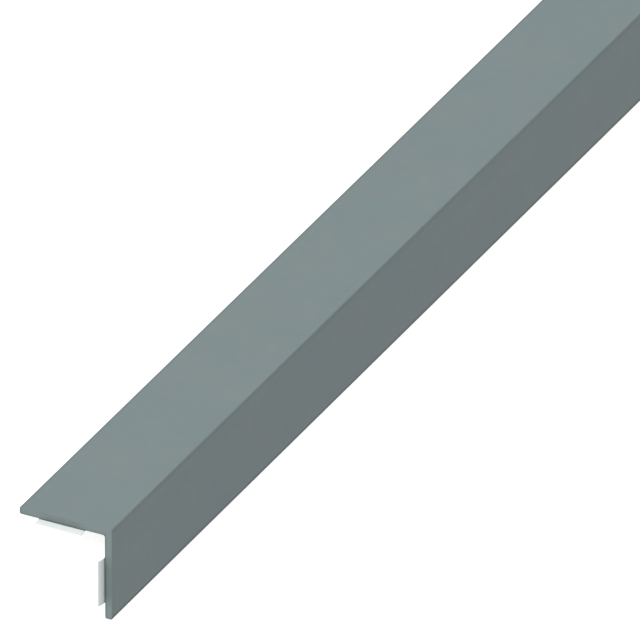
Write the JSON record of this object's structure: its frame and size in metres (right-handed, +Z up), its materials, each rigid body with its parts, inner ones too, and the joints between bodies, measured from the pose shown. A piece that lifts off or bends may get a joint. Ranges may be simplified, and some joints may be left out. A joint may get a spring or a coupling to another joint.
{
  "type": "self-adhesive pvc angle",
  "caption": "Grey extruded PVC equal-leg angle that covers an outside corner or edge, with adhesive tape under an overhanging release liner on the inside of each leg.",
  "frame": {"origin": "centre of the bounding box, on the level surface that the free edges of both legs stand on", "axes": "+Y along the length, away from the end that the picture shows; +Z up, through the outer corner; +X towards the right leg"},
  "size_m": [0.028, 1.0036, 0.015],
  "materials": {
    "pvc_grey": "satin, faint draw lines along the length",
    "adhesive_film": "clear acrylic adhesive, dark between the leg and the paper",
    "liner_paper": "smooth siliconised paper"
  },
  "bodies": {
    "root": {"angle_profile": "pvc_grey", "left_adhesive_tape": "adhesive_film", "left_release_liner": "liner_paper", "right_adhesive_tape": "adhesive_film", "right_release_liner": "liner_paper"}
  },
  "joints": []
}
